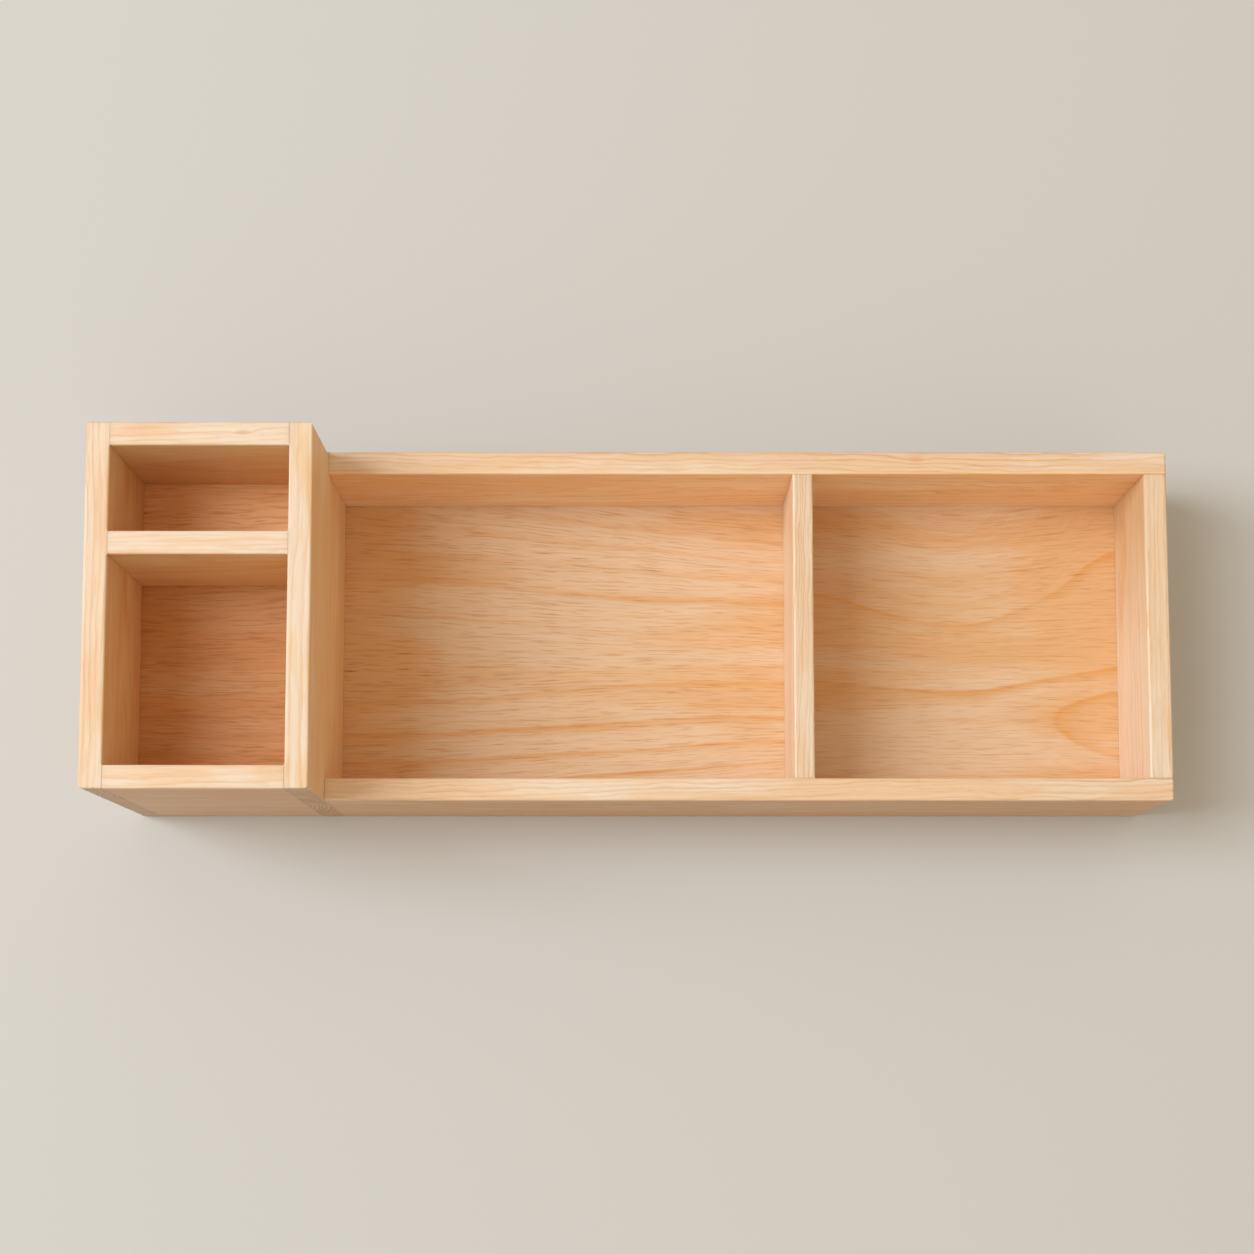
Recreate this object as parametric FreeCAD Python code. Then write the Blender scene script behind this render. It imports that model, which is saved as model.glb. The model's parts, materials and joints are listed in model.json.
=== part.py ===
"""Desk caddy of solid pine: a tall two-well tower at the left end of a long two-bay tray.

The tower's right side board is also the tray's left wall. Every corner is a glued butt joint on hidden
dowels, and both floors are let into stopped grooves. The row frame has +X to the right along the tray,
+Y to the back and +Z up, with the origin on the desk under the middle of the overall box.
"""

import FreeCAD, Part
import os

# Overall sizes, in millimetres
overall_length = 420.0
overall_depth = 140.0
tower_width = 86.0
tower_height = 105.0
tray_height = 62.0

# Board thicknesses
tower_wall = 9.0
tower_divider_thickness = 9.0
rail_thickness = 9.0
tray_end_thickness = 9.0
tray_divider_thickness = 8.0
floor_thickness = 4.0

# Places of the dividers and floors
front_well_depth = 80.0  # clear, between the tower's front board and its divider
long_bay_length = 185.0  # clear, between the tower and the tray's divider
tower_floor_top = 46.0  # above the desk
tray_floor_top = 9.0  # above the desk

# Joinery
groove_depth = 2.5  # how far the floors enter the boards round them
floor_edge_gap = 0.3  # room left in the grooves for the floors to swell
dowel_diameter = 4.0
dowel_side_depth = 6.0  # in the face of the board that is met
dowel_end_depth = 12.0  # in the end grain of the board that meets it
dowel_margin = 11.0  # from a board's upper edge or its floor to the nearest dowel's axis
dowel_chamfer = 0.5
hole_end_gap = 0.5  # room for glue at each end of a dowel

# Finish
edge_radius = 0.8  # all outside arrises, sanded after glueing

# Planes worked out from the sizes above
left = -overall_length / 2
right = overall_length / 2
front = -overall_depth / 2
back = overall_depth / 2
well_left = left + tower_wall
tower_right = left + tower_width
well_right = tower_right - tower_wall
well_front = front + tower_wall
well_back = back - tower_wall
tower_divider_front = well_front + front_well_depth
tower_divider_back = tower_divider_front + tower_divider_thickness
bay_front = front + rail_thickness
bay_back = back - rail_thickness
tray_divider_left = tower_right + long_bay_length
tray_divider_right = tray_divider_left + tray_divider_thickness
bay_right = right - tray_end_thickness

tolerance = 1e-6  # two planes nearer than this are the same plane
row_axes = [FreeCAD.Vector(1, 0, 0), FreeCAD.Vector(0, 1, 0), FreeCAD.Vector(0, 0, 1)]


def block(x_range, y_range, z_range):
    """A square-edged box between three pairs of planes."""
    corner = FreeCAD.Vector(x_range[0], y_range[0], z_range[0])
    sizes = [span[1] - span[0] for span in (x_range, y_range, z_range)]
    return Part.makeBox(*sizes, corner)


def wall_blanks():
    """Every upright board, square-edged, before grooving, drilling and sanding."""
    depth = (front, back)
    between_sides = (well_left, well_right)
    between_rails = (bay_front, bay_back)
    tower_rise = (0, tower_height)
    tray_rise = (0, tray_height)
    tray_run = (tower_right, right)
    return {
        "tower_left_side": block((left, well_left), depth, tower_rise),
        "tower_right_side": block((well_right, tower_right), depth, tower_rise),
        "tower_front": block(between_sides, (front, well_front), tower_rise),
        "tower_back": block(between_sides, (well_back, back), tower_rise),
        "tower_divider": block(
            between_sides, (tower_divider_front, tower_divider_back), (tower_floor_top, tower_height)
        ),
        "tray_front_rail": block(tray_run, (front, bay_front), tray_rise),
        "tray_back_rail": block(tray_run, (bay_back, back), tray_rise),
        "tray_end": block((bay_right, right), between_rails, tray_rise),
        "tray_divider": block(
            (tray_divider_left, tray_divider_right), between_rails, (tray_floor_top, tray_height)
        ),
    }


def floor_panel(x_range, y_range, top, reach):
    """A floor that runs past the clear space by reach on all four sides."""
    return block(
        (x_range[0] - reach, x_range[1] + reach),
        (y_range[0] - reach, y_range[1] + reach),
        (top - floor_thickness, top),
    )


def floors(reach):
    """The tower's floor and the tray's floor, each running under its divider."""
    return {
        "tower_floor": floor_panel((well_left, well_right), (well_front, well_back), tower_floor_top, reach),
        "tray_floor": floor_panel((tower_right, bay_right), (bay_front, bay_back), tray_floor_top, reach),
    }


def is_outside_arris(shape, edge):
    """True for a convex edge that a hand can reach: not one round the hollow under a floor."""
    middle = edge.CenterOfMass
    direction = edge.tangentAt(edge.FirstParameter)
    first, second = [axis for axis in row_axes if abs(axis.dot(direction)) < 0.5]
    step = edge_radius / 4
    quarters = [first * (a * step) + second * (b * step) for a in (-1, 1) for b in (-1, 1)]
    filled = [shape.isInside(middle + quarter, tolerance, False) for quarter in quarters]
    outline_distances = [middle.x - left, right - middle.x, middle.y - front, back - middle.y]
    on_outline = min(outline_distances) < tolerance
    return sum(filled) == 1 and (middle.z > tolerance or on_outline)


def sanded_envelope(blanks):
    """The glued-up body with its arrises rounded, so that the rounding runs across the joints."""
    first, *others = blanks
    body = first.fuse(others).removeSplitter()
    arrises = [edge for edge in body.Edges if is_outside_arris(body, edge)]
    return body.makeFillet(edge_radius, arrises)


def dowel_pair(start, axis, length):
    """A chamfered dowel from start along axis, and the hole that holds it."""
    radius = dowel_diameter / 2
    dowel = Part.makeCylinder(radius, length, start, axis)
    rims = [edge for edge in dowel.Edges if isinstance(edge.Curve, Part.Circle)]
    hole = Part.makeCylinder(radius, length + 2 * hole_end_gap, start - axis * hole_end_gap, axis)
    return dowel.makeChamfer(dowel_chamfer, rims), hole


def dowel_joints():
    """Dowels and their holes, listed under the name of the joint that they pin."""
    along, inward = row_axes[:2]
    blind_length = dowel_side_depth + dowel_end_depth
    through_length = dowel_end_depth + tower_wall + dowel_end_depth
    tray_heights = [tray_floor_top + dowel_margin, tray_height - dowel_margin]
    upper_height = tower_height - dowel_margin
    divider_heights = [tower_floor_top + dowel_margin, upper_height]
    shared_depth = min(tower_wall, rail_thickness) / 2  # inside both boards that a through dowel joins
    front_line = front + shared_depth
    back_line = back - shared_depth
    tower_divider_line = (tower_divider_front + tower_divider_back) / 2
    tray_divider_line = (tray_divider_left + tray_divider_right) / 2
    tray_end_line = (bay_right + right) / 2

    def row_along(start_x, y, heights, length=blind_length):
        return [dowel_pair(FreeCAD.Vector(start_x, y, z), along, length) for z in heights]

    def row_inward(x, start_y):
        return [dowel_pair(FreeCAD.Vector(x, start_y, z), inward, blind_length) for z in tray_heights]

    from_left_side = well_left - dowel_side_depth
    to_right_side = well_right - dowel_end_depth
    from_front_rail = bay_front - dowel_side_depth
    to_back_rail = bay_back - dowel_end_depth
    joints = {}
    for name, line in (("front", front_line), ("back", back_line)):
        joints[f"tower_{name}_left_dowels"] = row_along(from_left_side, line, [*tray_heights, upper_height])
        joints[f"tower_{name}_right_dowel"] = row_along(to_right_side, line, [upper_height])
        joints[f"{name}_rail_through_dowels"] = row_along(to_right_side, line, tray_heights, through_length)
    joints["tower_divider_left_dowels"] = row_along(from_left_side, tower_divider_line, divider_heights)
    joints["tower_divider_right_dowels"] = row_along(to_right_side, tower_divider_line, divider_heights)
    for name, line in (("divider", tray_divider_line), ("end", tray_end_line)):
        joints[f"tray_{name}_front_dowels"] = row_inward(line, from_front_rail)
        joints[f"tray_{name}_back_dowels"] = row_inward(line, to_back_rail)
    return joints


def build():
    """Every piece of the caddy by name, each a solid or a group of separate solids."""
    blanks = wall_blanks()
    envelope = sanded_envelope(list(blanks.values()))
    joints = dowel_joints()
    holes = [hole for row in joints.values() for dowel, hole in row]
    grooves = list(floors(groove_depth).values())
    pieces = {name: blank.common(envelope).cut(grooves + holes) for name, blank in blanks.items()}
    pieces.update(floors(groove_depth - floor_edge_gap))
    for name, row in joints.items():
        pieces[name] = Part.makeCompound([dowel for dowel, hole in row])
    return pieces


def single_solids(shape):
    """The shape's solids, as one solid where there is only one."""
    return shape.Solids[0] if len(shape.Solids) == 1 else Part.makeCompound(shape.Solids)


os.makedirs("parts", exist_ok=True)
for piece_name, piece in build().items():
    single_solids(piece).exportStep(f"parts/{piece_name}.step")
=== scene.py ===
"""Looks of the wooden desk caddy.

Every board is rebuilt with hand-sanded arrises and fine joint lines, and cut from its own piece of
solid timber: the growth rings run through the whole board, so faces, edges and end grain agree.
"""

import itertools
import json
import math

import bmesh
import bpy
import numpy as np
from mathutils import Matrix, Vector, noise


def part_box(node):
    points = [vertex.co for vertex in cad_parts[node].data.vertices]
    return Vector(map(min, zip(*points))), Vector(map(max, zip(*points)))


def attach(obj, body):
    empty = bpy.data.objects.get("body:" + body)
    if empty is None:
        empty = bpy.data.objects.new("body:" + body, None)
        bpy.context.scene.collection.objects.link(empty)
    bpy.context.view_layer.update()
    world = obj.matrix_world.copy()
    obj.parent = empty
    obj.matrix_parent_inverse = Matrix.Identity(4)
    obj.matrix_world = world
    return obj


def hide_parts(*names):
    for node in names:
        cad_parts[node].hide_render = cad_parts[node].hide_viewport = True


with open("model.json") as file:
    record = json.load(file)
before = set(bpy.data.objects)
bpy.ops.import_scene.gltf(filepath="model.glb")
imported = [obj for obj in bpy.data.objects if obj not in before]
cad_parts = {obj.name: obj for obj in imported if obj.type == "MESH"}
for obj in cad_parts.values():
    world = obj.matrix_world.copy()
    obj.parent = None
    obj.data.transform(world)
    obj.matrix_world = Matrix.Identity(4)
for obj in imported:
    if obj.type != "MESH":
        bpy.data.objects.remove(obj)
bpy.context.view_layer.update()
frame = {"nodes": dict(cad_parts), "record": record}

MM = 0.001  # one millimetre in metres
AXES = "XYZ"

# Board meshes, in millimetres
SANDED_RADIUS = 0.85  # level arrises that a hand can reach
CORNER_RADIUS = 2.0  # upright arrises that a hand can reach
SANDED_UNEVEN = 0.15  # share by which a sanded radius wanders
JOINT_RADIUS = 0.09  # arrises in a joint, which leave a hairline groove
RADIUS_WANDER = 14.0  # length over which a radius changes
WANDER_SHIFT = (17.3, 5.1, 9.7)  # keeps the radii of two boards from wandering alike
ARRIS_STEPS = (0.08, 0.2, 0.4, 0.65, 1.0, 1.4, 1.9, 2.5)  # mesh lines beside an arris
JOINT_STEPS = (0.2, 0.7, 2.0)  # mesh lines beside a neighbouring board
JOINT_CLEAR = 0.5  # a joint this near a board's own arris gets no mesh lines
MESH_GAP = 0.06  # mesh lines closer than this are one line
MESH_SPAN = 9.0  # widest mesh face
JOINT_FADE = 0.6  # length over which an arris changes from sanded to jointed
TOUCH = 0.01  # boards nearer than this touch
PROBE_OUTSIDE = 0.05  # a face is hidden where another board is this far outside it
PROBE_BESIDE = 1.0  # and this far from the arris
SANDING_PASSES = 6
SLOPE_STEP = 1e-3
LEAST_SLOPE = 1e-9
NEAR_LIMIT = 12.0  # distances to a neighbouring board are kept up to this
WELL_MARGIN = 0.6  # from a well's clear space to just behind its walls' faces
WELL_RIM = 1.0  # a well's faces stop this far below its mouth
SHARP_ANGLE = 40.0  # degrees
SAME_POINT = 1e-6  # metres
PLACE_DIGITS = 4  # decimals to which two joints' places are compared
NEAR_NAME = "near_joint"
INSIDE_NAME = "inside_well"

# Camera at the photograph's viewing angle, which looks nearly straight down past the front edge
CAMERA_PLACE = (-0.0050, -0.1586, 0.8973)
CAMERA_TILT = 5.67  # degrees from straight down, towards the back
CAMERA_LENS = 61.4
CAMERA_SHIFT = 0.15  # share of the picture by which the view moves up, as the photograph is framed
SENSOR_WIDTH = 36.0

# Light from the back left
KEY_PLACE = (-2.09, 0.22, 2.42)
KEY_WIDTH = 1.4
KEY_HEIGHT = 2.9
KEY_POWER = 79.0
KEY_COLOUR = (0.82, 0.90, 1.0)
SKY_COLOUR = (0.635, 0.54, 0.405, 1.0)
BACKDROP_COLOUR = (0.70, 0.68, 0.645, 1.0)
FLOOR_SIZE = 12.0
FLOOR_FADE = (0.4, 1.4)  # distances between which the floor fades into the backdrop
FLOOR_ROUGHNESS = 0.9


def stock(grain, thick, **growth):
    """A board's grain axis and thickness axis, and how its timber grew."""
    return dict(grain=grain, thick=thick, **growth)


# Each pith lies across the width and through the thickness, in millimetres from the board's middle.
# The tilt is its drift per millimetre of grain.
BOARDS = {
    "tower_left_side": stock("Y", "X", pith=(20, 46), tilt=(0.03, 0.02), ring=1.9, warmth=-0.4, seed=1),
    "tower_right_side": stock("Y", "X", pith=(-14, -52), tilt=(0, 0.01), ring=1.8, warmth=-0.3, seed=2),
    "tower_front": stock("X", "Y", pith=(30, 38), tilt=(0.05, 0.06), ring=2.4, warmth=-0.3, seed=3),
    "tower_back": stock("X", "Y", pith=(24, -44), tilt=(0.02, 0.03), ring=2.1, warmth=-0.3, seed=4),
    "tower_divider": stock("X", "Y", pith=(12, 55), tilt=(0.01, 0.02), ring=1.9, warmth=-0.5, seed=5),
    "tray_front_rail": stock("X", "Y", pith=(10, 40), tilt=(0.01, 0.03), ring=1.8, warmth=0.1, seed=6),
    "tray_back_rail": stock("X", "Y", pith=(6, -48), tilt=(0.01, -0.02), ring=1.9, warmth=0.1, seed=7),
    "tray_end": stock("Y", "X", pith=(-8, 50), tilt=(0.01, 0.01), ring=1.9, warmth=-0.3, seed=8),
    "tray_divider": stock("Y", "X", pith=(14, -46), tilt=(0.02, 0.03), ring=1.5, warmth=0.0, seed=9),
    "tower_floor": stock("X", "Z", pith=(8, -60), tilt=(0.02, 0.05), ring=5.0, warmth=0.2, seed=10),
    "tray_floor": stock("X", "Z", pith=(-2, -22), tilt=(0, 0), ring=7.0, warmth=0.0, seed=11),
}
DOWEL_GROWTH = dict(pith=(3, 5), tilt=(0, 0), ring=1.2, warmth=0.0, seed=30)
FLOORS = ("tower_floor", "tray_floor")


def linear(red, green, blue):
    """A display colour of 0 to 255 as the linear colour that a shader takes."""
    shares = [value / 255 for value in (red, green, blue)]
    return tuple(s / 12.92 if s <= 0.04045 else ((s + 0.055) / 1.055) ** 2.4 for s in shares) + (1.0,)


# Timber colours
BOARD_COLOURS = dict(pale=linear(238, 217, 193), line=linear(220, 168, 110), warm=linear(236, 201, 165))
RIGHT_SIDE_COLOURS = BOARD_COLOURS | dict(warm=linear(236, 199, 154))
TRAY_FLOOR_COLOURS = dict(pale=linear(232, 200, 165), line=linear(224, 163, 92), warm=linear(228, 182, 132))
# darker, redder timber, darkened also to paint in the deeper shade of the wells (painted shade)
TOWER_FLOOR_COLOURS = dict(
    pale=linear(222, 184, 147), line=linear(196, 136, 86), warm=linear(218, 164, 112)
)
DOWEL_COLOURS = dict(pale=linear(226, 190, 148), line=linear(200, 156, 110), warm=linear(214, 172, 128))
COLOURS = {
    "tower_right_side": RIGHT_SIDE_COLOURS,
    "tower_floor": TOWER_FLOOR_COLOURS,
    "tray_floor": TRAY_FLOOR_COLOURS,
}
KNOT_COLOUR = linear(214, 150, 84)
SEAM_COLOUR = linear(126, 78, 40)
STREAK_TINT = (0.84, 0.72, 0.57, 1.0)
DASH_TINT = (0.55, 0.42, 0.30, 1.0)
END_TINT = (0.48, 0.38, 0.32, 1.0)
PAINTED_SHADE_TINT = (0.98, 0.86, 0.66, 1.0)  # painted warm shade: the amber of deep, bounce-lit shade, laid on shaded faces such as those inside the wells
BOUNCE_COLOUR = linear(150, 106, 66)  # what the ground sends back to the caddy
GROUND_COLOUR = linear(206, 205, 202)  # what the ground looks like

# Noises in the timber: frequencies per millimetre along the grain, across it and through the thickness,
# the detail, and the window of noise values over which a mark passes from absent to full
GRAIN_NOISES = {
    "slow waver": dict(per_mm=(0.009, 0.03, 0.03), detail=1.0),
    "quick waver": dict(per_mm=(0.055, 0.2, 0.2), detail=2.0),
    "ring width": dict(per_mm=(0.45, 1.0, 1.0), detail=0.0),  # its first frequency is per ring
    "late wood": dict(per_mm=(0.018, 0.08, 0.08), detail=2.0, window=(0.36, 0.62)),
    "dash clusters": dict(per_mm=(0.02, 0.05, 0.05), detail=1.0, window=(0.42, 0.62)),
    "broad tone": dict(per_mm=(0.006, 0.05, 0.05), detail=2.0, window=(0.36, 0.66)),
    "mottle": dict(per_mm=(0.03, 0.17, 0.17), detail=2.0, window=(0.38, 0.62)),
    "band": dict(per_mm=(0.014, 0.8, 1.0), detail=3.0),
    "long streak": dict(per_mm=(0.02, 1.1, 1.1), detail=3.0, window=(0.5, 0.7)),
    "short streak": dict(per_mm=(0.07, 1.9, 1.9), detail=2.0, window=(0.52, 0.66)),
    "fibre": dict(per_mm=(0.06, 4.5, 4.5), detail=2.0),
    "seam wear": dict(per_mm=(0.05, 0.05, 0.05), detail=1.0, window=(0.35, 0.65)),
}
SEED_SHIFT = (1000.0, 37.7, 11.3)  # how far apart two boards are cut, along the grain, across and through
NOISE_MIDDLE = 0.5

# Growth rings
LATE_PEAK = 0.95  # share of a ring at which its late wood is darkest
LATE_FALL = 0.9  # share of a ring from which it fades into the next one
LATE_POWER = 1.6
LATE_FAINTEST = 0.5  # strength of a line where it fades along the grain
HAZE_START = 0.1
RING_TONE = 0.35  # warmth of the warmest rings
PLAIN_RINGS = 0.4  # share of the rings without a warmth of their own
RING_TONE_DRAW = 0.5  # keeps a ring's warmth apart from its strength
KNOT_STRETCH = (0.35, 1.0, 1.0)
KNOT_PUSH = 0.9  # how far rings bend round a knot, in knot sizes
KNOT_FALL = -0.5  # how fast that bend dies away
KNOT_HEART = 0.45  # strength of a knot's colour
KNOT_EDGE = (0.2, 1.2)  # where that colour fades, in knot sizes
END_LIMITS = (0.6, 0.95)  # how squarely a face cuts the grain, from side grain to end grain

# Short dark marks
DASH_CELL = (16.0, 0.95, 1.0)  # millimetres along the grain and across it
DASH_SIZES = (0.12, 0.34)  # shares of a cell
DASH_CORE = 0.25  # share of a mark's size that is fully dark
DASH_DEPTH_SLANT = 0.8
DASH_ABSENT = 0.4  # share of the cells that have none
DASH_FAINTEST = 0.3
DASH_SCATTERED = 0.15  # strength outside the clusters

# Shares of the fine marks in tone, sheen and relief
MOTTLE_RANGE = (-0.5, 0.5)
LONG_STREAK = 0.4
SHORT_STREAK = 0.75
BAND_TONE = 0.12
FIBRE_TONE = 0.13
END_TONE = -0.1
FIBRE_SWING = (-0.25, 0.25)
FIBRE_ROUGHNESS = (0.42, 0.54)
LATE_ROUGHNESS = -0.08
RELIEF = dict(late=0.5, fibre=0.4, streak=-0.2, dash=-0.4)
RELIEF_STRENGTH = 0.5
RELIEF_DEPTH = 0.06 * MM
SPECULAR = 0.35

# Joint lines
FLOOR_SEAM = 0.3  # strength of the joint lines on the floors, beside those on the walls
HAIRLINE_WIDTH = 0.4  # millimetres
HAIRLINE_WEAR = (0.04, 0.32)  # faintest and strongest
UPRIGHT_HAIRLINE = 0.4  # strength on upright faces, beside that on level ones
LEVEL_LIMITS = (0.3, 0.8)  # how far a face looks up, from upright to level
SEAM_SHADE_WIDTH = 2.5  # millimetres
SEAM_SHADE = 0.05


# Board meshes

def board_box(name):
    """Lowest and highest corner of a board, in millimetres."""
    low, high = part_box(name)
    return np.array(low) / MM, np.array(high) / MM


BOXES = {name: board_box(name) for name in BOARDS}


def mesh_stops(low, high, joints):
    """Places of the mesh lines from one face to the other, close together at arrises and joints."""
    places = {low, high}
    for step in ARRIS_STEPS:
        places |= {low + step, high - step}
    for joint in joints:
        places.add(joint)
        for step in JOINT_STEPS:
            places |= {joint - step, joint + step}
    stops = []
    for place in sorted(p for p in places if low <= p <= high):
        if not stops or place - stops[-1] > MESH_GAP:
            stops.append(place)
    stops[-1] = high
    filled = [stops[0]]
    for start, end in itertools.pairwise(stops):
        count = math.ceil((end - start) / MESH_SPAN)
        filled += [start + (end - start) * i / count for i in range(1, count + 1)]
    return filled


def box_shell(stops):
    """Points and outward quads of a box whose mesh lines lie at the given stops on each axis."""
    points = []
    index = {}

    def corner(key):
        if key not in index:
            index[key] = len(points)
            points.append([stops[axis][key[axis]] for axis in range(3)])
        return index[key]

    quads = []
    for axis in range(3):
        first, second = (axis + 1) % 3, (axis + 2) % 3
        for side in (0, len(stops[axis]) - 1):
            for i, j in itertools.product(range(len(stops[first]) - 1), range(len(stops[second]) - 1)):
                ring = [(i, j), (i + 1, j), (i + 1, j + 1), (i, j + 1)]
                keys = []
                for a, b in ring:
                    key = [0, 0, 0]
                    key[axis], key[first], key[second] = side, a, b
                    keys.append(corner(tuple(key)))
                quads.append(keys if side else keys[::-1])
    return np.array(points), quads


def neighbours(name):
    """Boxes of the other boards that touch this one."""
    low, high = BOXES[name]
    return [
        box for other, box in BOXES.items()
        if other != name and np.all(box[0] <= high + TOUCH) and np.all(box[1] >= low - TOUCH)
    ]


def smooth_step(values):
    clipped = np.clip(values, 0, 1)
    return clipped * clipped * (3 - 2 * clipped)


def covered(points, face, inner, along, others):
    """How far a face is hidden by another board just beside an arris, from 0 to 1."""
    axis, plane, outward = face
    inner_axis, inner_plane, inner_outward = inner
    outside = plane + outward * PROBE_OUTSIDE
    beside = inner_plane - inner_outward * PROBE_BESIDE
    place = points[:, along]
    result = np.zeros(len(points))
    for low, high in others:
        if low[axis] < outside < high[axis] and low[inner_axis] < beside < high[inner_axis]:
            gap = np.maximum(np.maximum(low[along] - place, place - high[along]), 0)
            result = np.maximum(result, 1 - smooth_step(gap / JOINT_FADE))
    return result


def wander(points, seed):
    """Smooth noise along a board, from -1 to 1."""
    shift = Vector([seed * step for step in WANDER_SHIFT])
    return np.array([noise.noise(Vector(p) / RADIUS_WANDER + shift) for p in points])


def arris_radii(name, points):
    """The twelve arrises of a board: their two faces and the rounding radius at each point."""
    low, high = BOXES[name]
    others = neighbours(name)
    uneven = 1 + SANDED_UNEVEN * wander(points, BOARDS[name]["seed"])
    faces = []
    for axis in range(3):
        faces += [(axis, low[axis], -1), (axis, high[axis], 1)]
    arrises = []
    for one, two in itertools.combinations(faces, 2):
        if one[0] == two[0]:
            continue
        along = 3 - one[0] - two[0]
        one_hidden = covered(points, one, two, along, others)
        two_hidden = covered(points, two, one, along, others)
        joint = np.maximum(one_hidden, two_hidden)
        free_radius = CORNER_RADIUS if AXES[along] == "Z" else SANDED_RADIUS
        radius = ((1 - joint) * free_radius + joint * JOINT_RADIUS) * uneven
        arrises.append((one, two, radius))
    return arrises


def depth_outside(points, arrises):
    """Signed distance of points to the rounded board: above zero outside it."""
    result = np.full(len(points), -np.inf)
    for one, two, radius in arrises:
        first = one[2] * (points[:, one[0]] - one[1])
        second = two[2] * (points[:, two[0]] - two[1])
        corner = np.hypot(np.maximum(first + radius, 0), np.maximum(second + radius, 0))
        result = np.maximum(result, np.minimum(np.maximum(first, second), -radius) + corner)
    return result


def sanded(points, arrises):
    """The points moved onto the rounded board."""
    for _ in range(SANDING_PASSES):
        depth = depth_outside(points, arrises)
        slope = np.zeros_like(points)
        for axis in range(3):
            offset = np.zeros(3)
            offset[axis] = SLOPE_STEP
            ahead = depth_outside(points + offset, arrises)
            behind = depth_outside(points - offset, arrises)
            slope[:, axis] = (ahead - behind) / (2 * SLOPE_STEP)
        length = np.maximum(np.linalg.norm(slope, axis=1), LEAST_SLOPE)
        points = points - slope * (np.maximum(depth, 0) / length**2)[:, None]
    return points


def joint_distance(name, points):
    """Distance from each point to the nearest other board, in millimetres."""
    nearest = np.full(len(points), NEAR_LIMIT)
    for low, high in neighbours(name):
        gap = np.maximum(np.maximum(low - points, points - high), 0)
        nearest = np.minimum(nearest, np.linalg.norm(gap, axis=1))
    return nearest


def inside_wells(points):
    """1 for points on the faces inside the tower's wells, else 0."""
    margin = np.array([WELL_MARGIN, WELL_MARGIN, WELL_MARGIN])
    rim = np.array([-WELL_MARGIN, -WELL_MARGIN, WELL_RIM])
    result = np.zeros(len(points))
    for opening in frame["record"]["physics"]["openings"]:
        if "well" not in opening["name"]:
            continue
        low, high = np.array(opening["box_m"]) / MM
        result[np.all((points >= low - margin) & (points <= high - rim), axis=1)] = 1.0
    return result


def cutter(node):
    """A closed copy of a dowel or floor, to cut its hole or groove."""
    mesh = bpy.data.meshes.new("cutter")
    shape = bmesh.new()
    shape.from_mesh(frame["nodes"][node].data)
    bmesh.ops.remove_doubles(shape, verts=shape.verts, dist=SAME_POINT)
    shape.to_mesh(mesh)
    shape.free()
    tool = bpy.data.objects.new("cutter", mesh)
    bpy.context.scene.collection.objects.link(tool)
    return tool


def boxes_meet(one, two):
    return np.all(one[0] < two[1] - TOUCH) and np.all(one[1] > two[0] + TOUCH)


def cut_joinery(board, name):
    """Cuts the grooves for the floors and the holes for the dowels that enter a board."""
    inside = [node for node in frame["nodes"] if node in FLOORS or node not in BOARDS]
    nodes = [node for node in inside if node != name and boxes_meet(board_box(node), BOXES[name])]
    tools = [cutter(node) for node in nodes]
    for tool in tools:
        change = board.modifiers.new("joinery", "BOOLEAN")
        change.operation = "DIFFERENCE"
        change.solver = "MANIFOLD"
        change.object = tool
    bpy.context.view_layer.update()
    evaluated = board.evaluated_get(bpy.context.evaluated_depsgraph_get())
    cut = bpy.data.meshes.new_from_object(evaluated)
    board.modifiers.clear()
    board.data = cut
    for tool in tools:
        bpy.data.objects.remove(tool)


def keep_values(mesh, name, values):
    """Stores one number for each point of a mesh."""
    attribute = mesh.attributes.new(name, "FLOAT", "POINT")
    attribute.data.foreach_set("value", values.astype(np.float32))


def make_board(name):
    """One board of the caddy, sanded, grooved and drilled, in place of its plain solid."""
    low, high = BOXES[name]
    others = neighbours(name)
    stops = []
    for axis in range(3):
        limits = {round(float(box[side][axis]), PLACE_DIGITS) for box in others for side in (0, 1)}
        inside = [limit for limit in limits if low[axis] + JOINT_CLEAR < limit < high[axis] - JOINT_CLEAR]
        stops.append(mesh_stops(float(low[axis]), float(high[axis]), inside))
    points, quads = box_shell(stops)
    shaped = sanded(points, arris_radii(name, points))
    mesh = bpy.data.meshes.new(name + "_board")
    mesh.from_pydata((shaped * MM).tolist(), [], quads)
    keep_values(mesh, NEAR_NAME, joint_distance(name, points))
    keep_values(mesh, INSIDE_NAME, inside_wells(points))
    board = bpy.data.objects.new(name + "_board", mesh)
    bpy.context.scene.collection.objects.link(board)
    cut_joinery(board, name)
    board.data.name = name + "_board"
    for polygon in board.data.polygons:
        polygon.use_smooth = True
    board.data.set_sharp_from_angle(angle=math.radians(SHARP_ANGLE))
    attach(board, "root")
    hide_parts(name)
    return board


# Shader helpers

# Sockets of a Mix node that mixes colours
MIX_SHARE = 0
MIX_ONE = 6
MIX_TWO = 7
MIX_RESULT = 2


def plug(tree, socket, value):
    """Links a socket, or sets it where the value is a plain number, vector or colour."""
    if isinstance(value, bpy.types.NodeSocket):
        tree.links.new(value, socket)
    else:
        socket.default_value = value


def calc(tree, operation, *values, clamp=False):
    node = tree.nodes.new("ShaderNodeMath")
    node.operation = operation
    node.use_clamp = clamp
    for socket, value in zip(node.inputs, values):
        plug(tree, socket, value)
    return node.outputs[0]


def product(tree, first, *others):
    for other in others:
        first = calc(tree, "MULTIPLY", first, other)
    return first


def total(tree, first, *others):
    for other in others:
        first = calc(tree, "ADD", first, other)
    return first


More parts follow.
